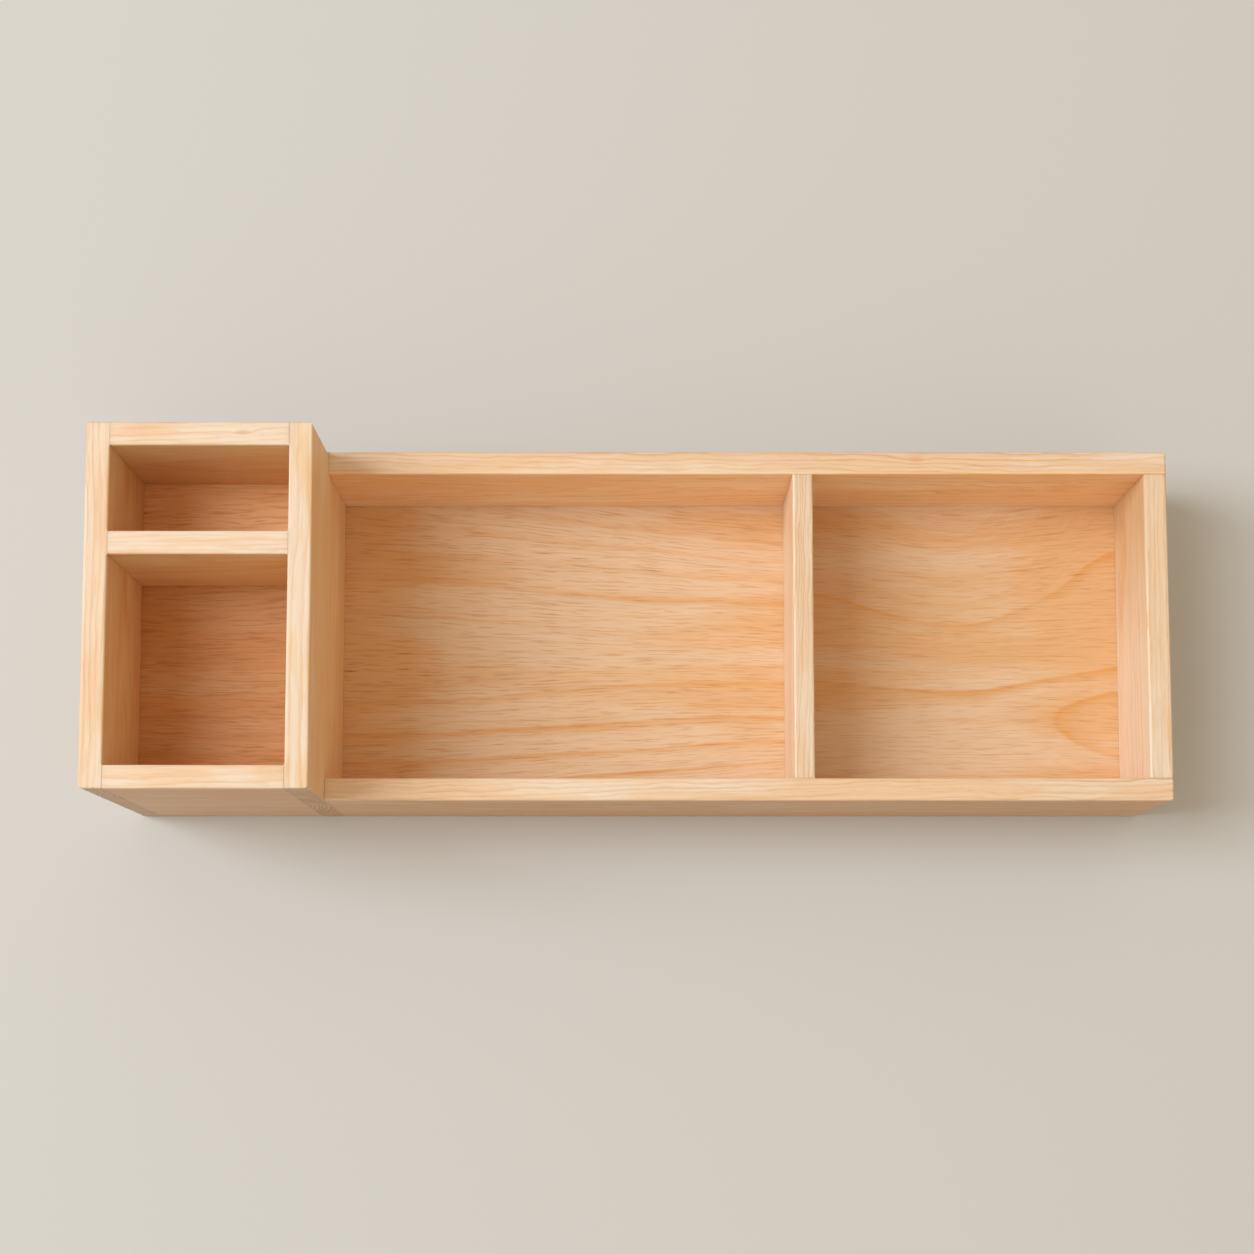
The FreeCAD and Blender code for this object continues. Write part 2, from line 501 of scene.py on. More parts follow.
def vector_calc(tree, operation, *values, scale=None):
    node = tree.nodes.new("ShaderNodeVectorMath")
    node.operation = operation
    for socket, value in zip(node.inputs, values):
        plug(tree, socket, value)
    if scale is not None:
        plug(tree, node.inputs["Scale"], scale)
    return node.outputs["Value" if operation in ("LENGTH", "DOT_PRODUCT") else "Vector"]


def split(tree, vector):
    node = tree.nodes.new("ShaderNodeSeparateXYZ")
    plug(tree, node.inputs[0], vector)
    return node.outputs


def join(tree, *values):
    node = tree.nodes.new("ShaderNodeCombineXYZ")
    for socket, value in zip(node.inputs, values):
        plug(tree, socket, value)
    return node.outputs[0]


def grain_noise(tree, place, name, colour=False):
    """One of the noises in the timber, from 0 to 1 round a middle of 0.5."""
    kind = GRAIN_NOISES[name]
    node = tree.nodes.new("ShaderNodeTexNoise")
    plug(tree, node.inputs["Vector"], vector_calc(tree, "MULTIPLY", place, kind["per_mm"]))
    node.inputs["Scale"].default_value = 1.0
    node.inputs["Detail"].default_value = kind["detail"]
    return node.outputs["Color" if colour else "Fac"]


def chance(tree, number, start):
    """A random share for each whole number, drawn from a start of its own."""
    node = tree.nodes.new("ShaderNodeTexWhiteNoise")
    node.noise_dimensions = "1D"
    plug(tree, node.inputs["W"], calc(tree, "ADD", number, start))
    return node.outputs["Value"]


def remap(tree, value, low, high, to_low=0.0, to_high=1.0, smooth=True):
    """A value that passes from one number to another while the given one passes from low to high."""
    node = tree.nodes.new("ShaderNodeMapRange")
    node.interpolation_type = "SMOOTHSTEP" if smooth else "LINEAR"
    for socket, number in zip(node.inputs, (value, low, high, to_low, to_high)):
        plug(tree, socket, number)
    return node.outputs[0]


def grain_marks(tree, place, name, absent=0.0, full=1.0):
    """A value that passes from absent to full over the window of one of the timber's noises."""
    return remap(tree, grain_noise(tree, place, name), *GRAIN_NOISES[name]["window"], absent, full)


def blend(tree, share, one, two, mode="MIX"):
    node = tree.nodes.new("ShaderNodeMix")
    node.data_type = "RGBA"
    node.blend_type = mode
    plug(tree, node.inputs[MIX_SHARE], share)
    plug(tree, node.inputs[MIX_ONE], one)
    plug(tree, node.inputs[MIX_TWO], two)
    return node.outputs[MIX_RESULT]


def shade(tree, colour, factor):
    """A colour made darker or lighter by one factor."""
    grey = tree.nodes.new("ShaderNodeCombineColor")
    for socket in grey.inputs[:3]:
        plug(tree, socket, factor)
    return blend(tree, 1.0, colour, grey.outputs[0], "MULTIPLY")


def attribute(tree, name):
    """A number stored for each point of the mesh."""
    node = tree.nodes.new("ShaderNodeAttribute")
    node.attribute_name = name
    return node.outputs["Fac"]


# Timber

TIMBER_INPUTS = {
    "NodeSocketVector": ("Place", "Shift", "Waver", "Knot place"),
    "NodeSocketFloat": (
        "Pith across", "Pith depth", "Spread", "Ring", "Ring start", "Ring luck", "Ring uneven", "Ripple",
        "Late start", "Haze", "Line strength", "Line least", "Sparse", "Mottle", "Light", "Dash strength",
        "Streak strength", "Fibre follow", "Knot size", "End grain", "Inside", "Warmth",
    ),
    "NodeSocketColor": ("Pale", "Line", "Warm"),
}
TIMBER_OUTPUTS = {"NodeSocketColor": ("Colour",), "NodeSocketFloat": ("Roughness", "Height")}


def wavered(tree, place, seeded, given):
    """Places bent by slow and quick wanderings of the grain."""
    middle = (NOISE_MIDDLE, NOISE_MIDDLE, NOISE_MIDDLE)
    slow_noise = grain_noise(tree, seeded, "slow waver", colour=True)
    quick_noise = grain_noise(tree, seeded, "quick waver", colour=True)
    slow = vector_calc(tree, "SUBTRACT", slow_noise, middle)
    quick = vector_calc(tree, "SUBTRACT", quick_noise, middle)
    shift = vector_calc(tree, "ADD", slow, vector_calc(tree, "SCALE", quick, scale=given["Ripple"]))
    return vector_calc(tree, "ADD", place, vector_calc(tree, "MULTIPLY", shift, given["Waver"]))


def knot_distance(tree, place, given):
    """Distance from a small knot, in knot sizes, drawn out along the grain."""
    offset = vector_calc(tree, "SUBTRACT", place, given["Knot place"])
    drawn_out = vector_calc(tree, "MULTIPLY", offset, KNOT_STRETCH)
    return calc(tree, "DIVIDE", vector_calc(tree, "LENGTH", drawn_out), given["Knot size"])


def beside_pith(tree, bent, given):
    """Places measured from the pith line across the grain, so that marks drawn on them follow the rings."""
    along, across, depth = split(tree, bent)
    across = calc(tree, "DIVIDE", calc(tree, "SUBTRACT", across, given["Pith across"]), given["Spread"])
    return join(tree, along, across, depth)


def ring_radius(tree, flow, knot, given):
    """Distance from the pith line, in millimetres, pushed out round the knot."""
    along, across, depth = split(tree, flow)
    depth = calc(tree, "SUBTRACT", depth, given["Pith depth"])
    radius = vector_calc(tree, "LENGTH", join(tree, across, depth, 0.0))
    bulge = calc(tree, "EXPONENT", product(tree, knot, knot, KNOT_FALL))
    return calc(tree, "MULTIPLY_ADD", product(tree, bulge, given["Knot size"]), KNOT_PUSH, radius)


def growth_rings(tree, radius, given):
    """Ring number and share of the ring passed."""
    turn = calc(tree, "ADD", calc(tree, "DIVIDE", radius, given["Ring"]), given["Ring start"])
    turn_place = join(tree, turn, split(tree, given["Shift"])[1], 0.0)
    width_noise = grain_noise(tree, turn_place, "ring width")
    turn = calc(tree, "MULTIPLY_ADD", width_noise, given["Ring uneven"], turn)
    return calc(tree, "FLOOR", turn), calc(tree, "FRACT", turn)


def late_wood(tree, seeded, number, share, given):
    """Strength of the dark late wood.

    It rises through each ring, stops short, and comes and goes along the grain.
    """
    fall = remap(tree, share, LATE_FALL, 1.0, 1.0, 0.0)
    line = calc(tree, "POWER", remap(tree, share, given["Late start"], LATE_PEAK), LATE_POWER)
    haze = product(tree, remap(tree, share, HAZE_START, LATE_PEAK), given["Haze"])
    luck = chance(tree, number, given["Ring luck"])
    strength = remap(tree, luck, given["Sparse"], 1.0, given["Line least"], 1.0, smooth=False)
    presence = grain_marks(tree, seeded, "late wood", absent=LATE_FAINTEST)
    return product(tree, calc(tree, "ADD", line, haze), fall, strength, presence)


def dashes(tree, fibres, strength):
    """Short dark marks along the grain, one in each cell of a rough grid or none, in loose clusters."""
    along, across, depth = split(tree, fibres)
    flat = join(tree, along, calc(tree, "MULTIPLY_ADD", depth, DASH_DEPTH_SLANT, across), 0.0)
    cells = tree.nodes.new("ShaderNodeTexVoronoi")
    cells.voronoi_dimensions = "2D"
    plug(tree, cells.inputs["Vector"], vector_calc(tree, "DIVIDE", flat, DASH_CELL))
    cells.inputs["Scale"].default_value = 1.0
    red, green, blue = split(tree, cells.outputs["Color"])
    size = remap(tree, green, 0.0, 1.0, *DASH_SIZES, smooth=False)
    mark = remap(tree, calc(tree, "DIVIDE", cells.outputs["Distance"], size), DASH_CORE, 1.0, 1.0, 0.0)
    present = calc(tree, "GREATER_THAN", red, DASH_ABSENT)
    darkness = remap(tree, blue, 0.0, 1.0, DASH_FAINTEST, 1.0, smooth=False)
    cluster = grain_marks(tree, fibres, "dash clusters", absent=DASH_SCATTERED)
    return product(tree, mark, present, darkness, cluster, strength)


def streaks(tree, fibres):
    """Long and short darker streaks along the grain."""
    long_streak = grain_marks(tree, fibres, "long streak", full=LONG_STREAK)
    short_streak = grain_marks(tree, fibres, "short streak", full=SHORT_STREAK)
    return calc(tree, "ADD", long_streak, short_streak)


def ground_tone(tree, seeded, number, given):
    """Colour between pale and warm, in slow drifts, smaller mottles and whole rings."""
    broad = grain_marks(tree, seeded, "broad tone")
    mottle = grain_marks(tree, seeded, "mottle", *MOTTLE_RANGE)
    drift = calc(tree, "MULTIPLY_ADD", mottle, given["Mottle"], broad)
    luck = chance(tree, number, RING_TONE_DRAW)
    ring_tone = remap(tree, luck, PLAIN_RINGS, 1.0, 0.0, RING_TONE, smooth=False)
    warmth = calc(tree, "ADD", calc(tree, "ADD", drift, ring_tone), given["Warmth"], clamp=True)
    return blend(tree, warmth, given["Pale"], given["Warm"])


def timber_group():
    """Solid softwood: growth rings round a pith line, fibres, short dark dashes and slow drifts of tone."""
    tree = bpy.data.node_groups.new("timber", "ShaderNodeTree")
    for side, sockets in (("INPUT", TIMBER_INPUTS), ("OUTPUT", TIMBER_OUTPUTS)):
        for kind, names in sockets.items():
            for name in names:
                tree.interface.new_socket(name, in_out=side, socket_type=kind)
    given = tree.nodes.new("NodeGroupInput").outputs

    seeded = vector_calc(tree, "ADD", given["Place"], given["Shift"])
    bent = wavered(tree, given["Place"], seeded, given)
    flow = beside_pith(tree, bent, given)
    full_turn = vector_calc(tree, "SUBTRACT", flow, bent)
    turn = vector_calc(tree, "SCALE", full_turn, scale=given["Fibre follow"])
    fibres = vector_calc(tree, "ADD", vector_calc(tree, "ADD", bent, turn), given["Shift"])

    knot = knot_distance(tree, given["Place"], given)
    radius = ring_radius(tree, flow, knot, given)
    number, share = growth_rings(tree, radius, given)
    late = late_wood(tree, seeded, number, share, given)
    dash = dashes(tree, fibres, given["Dash strength"])
    streak = streaks(tree, fibres)
    fibre = calc(tree, "SUBTRACT", grain_noise(tree, seeded, "fibre"), NOISE_MIDDLE)
    ring_place = vector_calc(tree, "ADD", join(tree, split(tree, bent)[0], radius, 0.0), given["Shift"])
    band = calc(tree, "SUBTRACT", grain_noise(tree, ring_place, "band"), NOISE_MIDDLE)
    heart = remap(tree, knot, *KNOT_EDGE, KNOT_HEART, 0.0)

    light = calc(tree, "MULTIPLY_ADD", product(tree, band, BAND_TONE), given["Streak strength"], 1.0)
    light = calc(tree, "MULTIPLY_ADD", fibre, FIBRE_TONE, light)
    light = calc(tree, "MULTIPLY_ADD", given["End grain"], END_TONE, light)
    tone = ground_tone(tree, seeded, number, given)
    tone = blend(tree, product(tree, late, given["Line strength"]), tone, given["Line"])
    # painted warm shade laid by the tint below, and painted light or shade carried by the Light input on
    # some boards
    tone = blend(tree, given["Inside"], tone, PAINTED_SHADE_TINT, "MULTIPLY")
    tone = shade(tree, tone, product(tree, light, given["Light"]))
    tone = blend(tree, product(tree, streak, given["Streak strength"]), tone, STREAK_TINT, "MULTIPLY")
    tone = blend(tree, product(tree, late, given["End grain"]), tone, END_TINT, "MULTIPLY")
    tone = blend(tree, dash, tone, DASH_TINT, "MULTIPLY")
    tone = blend(tree, heart, tone, KNOT_COLOUR)

    fibre_rough = remap(tree, fibre, *FIBRE_SWING, *FIBRE_ROUGHNESS)
    rough = calc(tree, "MULTIPLY_ADD", late, LATE_ROUGHNESS, fibre_rough)
    height = calc(tree, "MULTIPLY_ADD", late, RELIEF["late"], product(tree, fibre, RELIEF["fibre"]))
    height = calc(tree, "MULTIPLY_ADD", streak, RELIEF["streak"], height)
    height = calc(tree, "MULTIPLY_ADD", dash, RELIEF["dash"], height)
    result = tree.nodes.new("NodeGroupOutput")
    for name, value in (("Colour", tone), ("Roughness", rough), ("Height", height)):
        plug(tree, result.inputs[name], value)
    return tree


TIMBER = timber_group()
NO_KNOT = (1000.0, 0.0, 0.0)  # a place outside every board
TRAY_LUCK = 30253.875  # a draw in which the tray floor's strong rings lie as in the photograph
BOARD_FIGURE = {
    "Spread": 1.0, "Ring start": 0.0, "Ring luck": 0.0, "Ring uneven": 1.6,
    "Waver": (0.0, 5.0, 5.0), "Ripple": 0.55, "Late start": 0.35, "Haze": 0.22,
    "Line strength": 0.8, "Line least": 0.4, "Sparse": 0.0, "Mottle": 0.6, "Light": 1.0,
    "Dash strength": 0.1, "Streak strength": 0.4, "Fibre follow": 0.0,
    "Knot place": NO_KNOT, "Knot size": 1.0, "Inside": 0.0,
}
SIDE_FIGURE = {"Ripple": 0.3, "Line strength": 0.6, "Mottle": 0.8}
CROSS_FIGURE = {"Ripple": 0.35, "Line strength": 0.4, "Mottle": 1.0}
TOWER_FLOOR_FIGURE = {
    "Waver": (0.0, 7.0, 2.0), "Ripple": 0.3, "Late start": 0.8, "Line strength": 0.3,
    "Dash strength": 0.85, "Streak strength": 1.4, "Mottle": 0.3,
}
TRAY_FLOOR_FIGURE = {
    "Waver": (0.0, 7.0, 0.3), "Ripple": 0.16, "Ring luck": TRAY_LUCK, "Ring uneven": 0.0,
    "Haze": 0.06, "Mottle": 0.3, "Light": 1.015,
}
FIGURES = {
    "tower_left_side": SIDE_FIGURE,
    "tower_right_side": SIDE_FIGURE,
    "tower_front": CROSS_FIGURE,
    "tower_back": CROSS_FIGURE | {"Knot place": (16.5, 52.5, 0.4), "Knot size": 1.2},
    "tower_divider": CROSS_FIGURE,
    "tray_back_rail": {"Knot place": (67.5, 31.0, 1.5), "Knot size": 1.3},
    "tray_end": {"Line strength": 0.5},
    "tower_floor": TOWER_FLOOR_FIGURE,
    "tray_floor": TRAY_FLOOR_FIGURE,
}


# Tones, painted light and painted shade, and lines that change over a board. Places are in millimetres from
# the caddy's own origin.

FACE_SKIN = (0.2, 1.3)  # a face's own tone gives way between these depths
LOW_FACE = 0
HIGH_FACE = 1
ACROSS_X = 0
ACROSS_Y = 1
UNDER_DIVIDER = (18.0, 30.0)  # places from front to back under the tower's divider
TOWER_FLOOR_PAINTED_LIGHT = (0.95, 1.3)  # painted light, brighter in the back well: in the front well and in the back one
# paler in the back well, together with the painted light
TOWER_FLOOR_WARMTH = (0.2, -0.9)
BACK_RAIL_RISE = (12.0, 58.0)  # heights
# painted light on the inner face, low and high, and painted warm shade at its top
BACK_RAIL_PAINTED_LIGHT = (1.2, 1.18)
BACK_RAIL_PAINTED_SHADE = 0.65
RIGHT_SIDE_LENGTH = (-70.0, 70.0)  # from front to back
RIGHT_SIDE_WARMTH = (0.0, -0.6)
# painted bounce light on the outer face, paler and warmer
RIGHT_SIDE_PAINTED_LIGHT = 1.06
RIGHT_SIDE_PAINTED_WARMTH = 0.5
TRAY_END_BACK = (-20.0, 61.0)  # places from front to back
# painted light at the front of the inner face, painted shadow at its back
TRAY_END_PAINTED_LIGHT = (1.07, 0.91)
TRAY_END_WARMTH = (-0.8, -0.3)  # painted light, paler on the inner face: on the inner face and elsewhere
TRAY_DIVIDER_PAINTED_LIGHT = (1.02, 0.97)  # painted light: on the left face, towards the lamp, and elsewhere
# the left face's painted light, in warmth
TRAY_DIVIDER_WARMTH = (-0.5, 0.1)


def on_face(tree, name, place, axis, side, on, off):
    """One value on a board's low or high face across an axis, and another a little below that face."""
    face = float(BOXES[name][side][axis])
    inward = 1 - 2 * side
    skin_start, skin_end = [face + inward * depth for depth in FACE_SKIN]
    return remap(tree, place, skin_start, skin_end, on, off)


def tower_floor_tone(tree, x, y, z):
    """Painted light: the floor is painted brighter and paler in the back well."""
    return {
        "Light": remap(tree, y, *UNDER_DIVIDER, *TOWER_FLOOR_PAINTED_LIGHT),
        "Warmth": remap(tree, y, *UNDER_DIVIDER, *TOWER_FLOOR_WARMTH),
    }


def back_rail_tone(tree, x, y, z):
    """Painted light on the inner face, which is painted paler as if lit from the tray floor, with painted
    warm shade growing towards its upper edge.
    """
    inner = ("tray_back_rail", y, ACROSS_Y, LOW_FACE)
    light = remap(tree, z, *BACK_RAIL_RISE, *BACK_RAIL_PAINTED_LIGHT)
    painted_warm_shade = remap(tree, z, *BACK_RAIL_RISE, 0.0, BACK_RAIL_PAINTED_SHADE)
    return {
        "Light": on_face(tree, *inner, light, 1.0),
        "Inside": on_face(tree, *inner, painted_warm_shade, 0.0),
    }


def right_side_tone(tree, x, y, z):
    """Painted light: the outer face, which the tray floor lights, is painted paler and warmer; elsewhere
    the tone is warmer towards the front.
    """
    outer = ("tower_right_side", x, ACROSS_X, HIGH_FACE)
    elsewhere = remap(tree, y, *RIGHT_SIDE_LENGTH, *RIGHT_SIDE_WARMTH, smooth=False)
    return {
        "Light": on_face(tree, *outer, RIGHT_SIDE_PAINTED_LIGHT, 1.0),
        "Warmth": on_face(tree, *outer, RIGHT_SIDE_PAINTED_WARMTH, elsewhere),
    }


def tray_end_tone(tree, x, y, z):
    """Painted light and shade on the inner face: paler towards the front, with a painted shadow and painted
    warm shade towards its back, where the back rail shades it.
    """
    inner = ("tray_end", x, ACROSS_X, LOW_FACE)
    light = remap(tree, y, *TRAY_END_BACK, *TRAY_END_PAINTED_LIGHT)
    painted_warm_shade = remap(tree, y, *TRAY_END_BACK)
    return {
        "Light": on_face(tree, *inner, light, 1.0),
        "Inside": on_face(tree, *inner, painted_warm_shade, 0.0),
        "Warmth": on_face(tree, *inner, *TRAY_END_WARMTH),
    }


def tray_divider_tone(tree, x, y, z):
    """Painted light: the left face, which faces the lamp, is painted paler and less warm than the rest."""
    left = ("tray_divider", x, ACROSS_X, LOW_FACE)
    return {
        "Light": on_face(tree, *left, *TRAY_DIVIDER_PAINTED_LIGHT),
        "Warmth": on_face(tree, *left, *TRAY_DIVIDER_WARMTH),
    }


# The tray's floor: its figure runs along the long bay and ends round a heart at the short bay's right end.
# A reach is a stretch from left to right, and "across" is counted from the pith, behind it above zero.
LONG_BAY_START = -121.0
LONG_BAY_END = 60.0
DIVIDER_LEFT = 61.0
DIVIDER_MIDDLE = 65.0
DIVIDER_RIGHT = 69.0
HEART_REACH = (150.0, 190.0)
TRAY_RING = 7.0
TRAY_RING_START = 0.37
PITH_DRIFT = (-3.6, -6.6)  # the pith's place from front to back, at both ends of the long bay
PITH_STEP = -22.4  # its step under the divider
PITH_TURN = -4.0  # its step at the heart
PITH_SINK = -2.5  # how far it sinks along the long bay
PITH_RISE_REACH = (142.0, 212.0)
PITH_DEPTHS = (-20.2, -10.6)  # before and after it rises at the heart
LONG_SPREAD = (0.38, 0.06)  # extra spacing of the lines at both ends of the long bay
SHORT_SPREAD = 0.28  # the same at the short bay's left end
SHORT_SPREAD_END = 130.0
HEART_SPREAD = 0.0095  # the same at the heart, per millimetre from the pith
HEART_SPREAD_REACH = (132.0, 205.0)
HEART_SLANT = 0.9  # lean of the heart's left edge, per millimetre from the pith
HEART_EDGE_REACH = (158.0, 168.0)
HEART_ACROSS = (-8.0, -2.0)
QUIET_FRONT = (-49.0, -45.0)  # places from front to back
QUIET_BACK = (42.0, 47.0)
ABSENT_LINES = (0.45, 0.99)  # share of the short bay's rings without a line, in plain and in quiet parts
FRONT_LINES_ACROSS = (-6.0, 0.0)
BACK_LINE_ACROSS = (12.0, 19.0)
BACK_LINE_STRENGTH = (0.4, 0.75)  # before and on the one plain line behind the pith
LAST_LINE_ACROSS = (26.0, 29.5)
LAST_LINE_FADE = 0.55
LEFT_LINE_STRENGTH = 0.65  # strength at the left end, which grows to full
FULL_LINE_START = 20.0
SHORT_LINE_STRENGTH = 0.9
LATE_ACROSS = (8.0, 20.0)
LONG_LATE_START = (0.78, 0.5)  # near the pith and far from it
SHORT_LATE_START = 0.56
LONG_LINE_LEAST = 0.75
LEFT_DASH = 0.4  # extra strength of the short marks at the left end
LEFT_DASH_END = -112.0
DASH_REACH = (-90.0, 0.0)
DASH_STRENGTH = (0.6, 0.4)
STREAK_STRENGTH = (1.05, 0.85)  # in the long bay and in the short one
FIBRE_FOLLOW = (1.0, 0.15)  # likewise
LEFT_WARMTH = (0.9, -0.4)  # painted warm shade in the tower's shadow: at the left end and after it
LEFT_WARMTH_END = -75.0
DIVIDER_WARMTH = 0.35  # extra warmth towards the divider
DIVIDER_WARMTH_REACH = (-10.0, 55.0)
SHORT_WARMTH = 0.4  # painted warm shade in the divider's shadow: extra warmth after the divider
SHORT_WARMTH_END = 110.0
MIDDLE_WARMTH = -0.4  # in the middle of the short bay
HEART_WARMTH = (0.3, 0.8)  # at the front of the heart and behind it
HEART_WARMTH_DEPTH = (-45.0, 0.0)  # places from front to back


def by_bay(tree, short_bay, long_value, short_value):
    """One value in the long bay and another in the short one."""
    return remap(tree, short_bay, 0.0, 1.0, long_value, short_value, smooth=False)


def tray_pith(tree, x):
    """The pith's place from front to back."""
    drift = remap(tree, x, LONG_BAY_START, DIVIDER_LEFT, *PITH_DRIFT, smooth=False)
    step = remap(tree, x, DIVIDER_LEFT, DIVIDER_RIGHT, 0.0, PITH_STEP)
    turn = remap(tree, x, *HEART_REACH, 0.0, PITH_TURN)
    return total(tree, drift, step, turn)


def tray_pith_depth(tree, x, short_bay):
    """The pith's depth: it sinks along the long bay, and rises towards the heart."""
    sinking = remap(tree, x, LONG_BAY_START, LONG_BAY_END, 0.0, PITH_SINK)
    rising = remap(tree, x, *PITH_RISE_REACH, *PITH_DEPTHS)
    return calc(tree, "ADD", by_bay(tree, short_bay, sinking, 0.0), rising)


def tray_spread(tree, x, from_pith, short_bay):
    """Spacing of the lines: they close along the long bay, and open at both ends of the short one."""
    closing = remap(tree, x, LONG_BAY_START, LONG_BAY_END, *LONG_SPREAD, smooth=False)
    flare = remap(tree, x, DIVIDER_RIGHT, SHORT_SPREAD_END, SHORT_SPREAD, 0.0)
    opening = remap(tree, x, *HEART_SPREAD_REACH, 0.0, HEART_SPREAD)
    opened = product(tree, opening, calc(tree, "ABSOLUTE", from_pith))
    return total(tree, by_bay(tree, short_bay, closing, flare), opened, 1.0)


def tray_absent_lines(tree, x, y, from_pith):
    """Share of the short bay's rings without a line: most left of the heart and along front and back."""
    slanted = calc(tree, "MULTIPLY_ADD", from_pith, HEART_SLANT, x)
    before_edge = remap(tree, slanted, *HEART_EDGE_REACH, 1.0, 0.0)
    left_of_heart = product(tree, before_edge, remap(tree, from_pith, *HEART_ACROSS, 1.0, 0.0))
    front = remap(tree, y, *QUIET_FRONT, 1.0, 0.0)
    back = remap(tree, y, *QUIET_BACK)
    quiet = calc(tree, "MAXIMUM", left_of_heart, calc(tree, "ADD", front, back))
    return remap(tree, quiet, 0.0, 1.0, *ABSENT_LINES, smooth=False)


def tray_line_strength(tree, x, across, short_bay):
    """Strength of the lines: in the long bay all are plain in front of the pith, but only one behind it."""
    in_front = remap(tree, across, *FRONT_LINES_ACROSS, 1.0, 0.0)
    rising = remap(tree, across, *BACK_LINE_ACROSS, *BACK_LINE_STRENGTH)
    falling = remap(tree, across, *LAST_LINE_ACROSS, 1.0, LAST_LINE_FADE)
    plain = calc(tree, "MAXIMUM", in_front, product(tree, rising, falling))
    growing = remap(tree, x, LONG_BAY_START, FULL_LINE_START, LEFT_LINE_STRENGTH, 1.0)
    return by_bay(tree, short_bay, product(tree, plain, growing), SHORT_LINE_STRENGTH)


def tray_dash_strength(tree, x):
    """Strength of the short dark marks, which are plainest at the left end."""
    left = remap(tree, x, LONG_BAY_START, LEFT_DASH_END, LEFT_DASH, 0.0)
    return calc(tree, "ADD", left, remap(tree, x, *DASH_REACH, *DASH_STRENGTH))


def tray_warmth(tree, x, y, short_bay):
    """Warmer tones at both ends of each bay; at each bay's left end the warmth is painted warm shade, in
    the shadows of the tower and of the divider.
    """
    long_left = remap(tree, x, LONG_BAY_START, LEFT_WARMTH_END, *LEFT_WARMTH)
    long_right = remap(tree, x, *DIVIDER_WARMTH_REACH, 0.0, DIVIDER_WARMTH)
    short_left = remap(tree, x, DIVIDER_RIGHT, SHORT_WARMTH_END, SHORT_WARMTH, 0.0)
    heart = remap(tree, y, *HEART_WARMTH_DEPTH, *HEART_WARMTH)
    short_right = remap(tree, x, *HEART_REACH, MIDDLE_WARMTH, heart)
    long_ends = calc(tree, "ADD", long_left, long_right)
    short_ends = calc(tree, "ADD", short_left, short_right)
    return by_bay(tree, short_bay, long_ends, short_ends)


def tray_floor_lines(tree, x, y, z):
    """Ring lines that draw together along the long bay and bow in the short bay.

    At the right end they open round a heart. Under the divider the rings turn over: in the long bay
    each line fades outwards, in the short bay inwards.
    """
    short_bay = calc(tree, "GREATER_THAN", x, DIVIDER_MIDDLE)
    pith = tray_pith(tree, x)
    from_pith = calc(tree, "SUBTRACT", y, pith)
    spread = tray_spread(tree, x, from_pith, short_bay)
    across = calc(tree, "DIVIDE", from_pith, spread)
    long_late = remap(tree, calc(tree, "ABSOLUTE", across), *LATE_ACROSS, *LONG_LATE_START)
    return {
        "Pith across": pith,
        "Pith depth": tray_pith_depth(tree, x, short_bay),
        "Spread": spread,
        "Ring": by_bay(tree, short_bay, -TRAY_RING, TRAY_RING),
        "Ring start": by_bay(tree, short_bay, -TRAY_RING_START, TRAY_RING_START),
        "Late start": by_bay(tree, short_bay, long_late, SHORT_LATE_START),
        "Line strength": tray_line_strength(tree, x, across, short_bay),
        "Line least": by_bay(tree, short_bay, LONG_LINE_LEAST, 0.0),
        "Sparse": by_bay(tree, short_bay, 0.0, tray_absent_lines(tree, x, y, from_pith)),
        "Dash strength": tray_dash_strength(tree, x),
        "Streak strength": by_bay(tree, short_bay, *STREAK_STRENGTH),
        "Fibre follow": by_bay(tree, short_bay, *FIBRE_FOLLOW),
        "Warmth": tray_warmth(tree, x, y, short_bay),
    }


LOCAL_FIGURES = {
    "tower_right_side": right_side_tone,
    "tower_floor": tower_floor_tone,
    "tray_back_rail": back_rail_tone,
    "tray_end": tray_end_tone,
    "tray_divider": tray_divider_tone,
    "tray_floor": tray_floor_lines,
}


# Materials

def joint_line(tree, place, normal):
    """Strength of the brown hairline where boards meet, and of a faint darkening beside it."""
    near = attribute(tree, NEAR_NAME)
    worn = grain_marks(tree, place, "seam wear", *HAIRLINE_WEAR)
    level = remap(tree, split(tree, normal)["Z"], *LEVEL_LIMITS, UPRIGHT_HAIRLINE, 1.0)
    hairline = product(tree, remap(tree, near, 0.0, HAIRLINE_WIDTH, 1.0, 0.0), worn, level)
    return calc(tree, "ADD", hairline, remap(tree, near, 0.0, SEAM_SHADE_WIDTH, SEAM_SHADE, 0.0))


